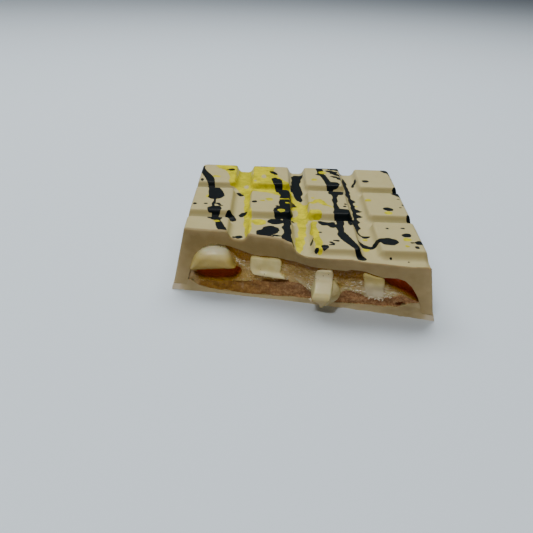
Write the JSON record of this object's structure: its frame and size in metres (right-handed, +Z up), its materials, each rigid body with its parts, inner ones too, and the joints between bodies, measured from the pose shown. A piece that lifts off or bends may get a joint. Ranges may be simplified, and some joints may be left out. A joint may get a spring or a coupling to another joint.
{
  "type": "lemon-filled white chocolate bar",
  "caption": "Snapped half of a moulded white chocolate bar with raised blocks and dark and yellow splashes, filled with lemon gel, vanilla ganache and crunchy wafer.",
  "frame": {"origin": "centre of the bounding box's bottom, on the face the bar lies on", "axes": "+X across the columns to the right as seen from the broken face, +Y from the broken face to the moulded end, +Z up to the blocks"},
  "size_m": [0.0756, 0.0774, 0.0203],
  "materials": {
    "white_chocolate": "satin white chocolate with black and lemon yellow splashes",
    "closing_chocolate": "satin white chocolate, slightly rough",
    "wafer": "porous pinkish brown crumb",
    "gel": "moist translucent amber gel",
    "ganache": "soft pale cream with fine vanilla specks"
  },
  "bodies": {
    "root": {"shell": "white_chocolate", "closing_layer": "closing_chocolate", "wafer_layer": "wafer", "lemon_gel": "gel", "ganache_1": "ganache", "ganache_2": "ganache", "ganache_3": "ganache", "ganache_4": "ganache"}
  },
  "joints": []
}
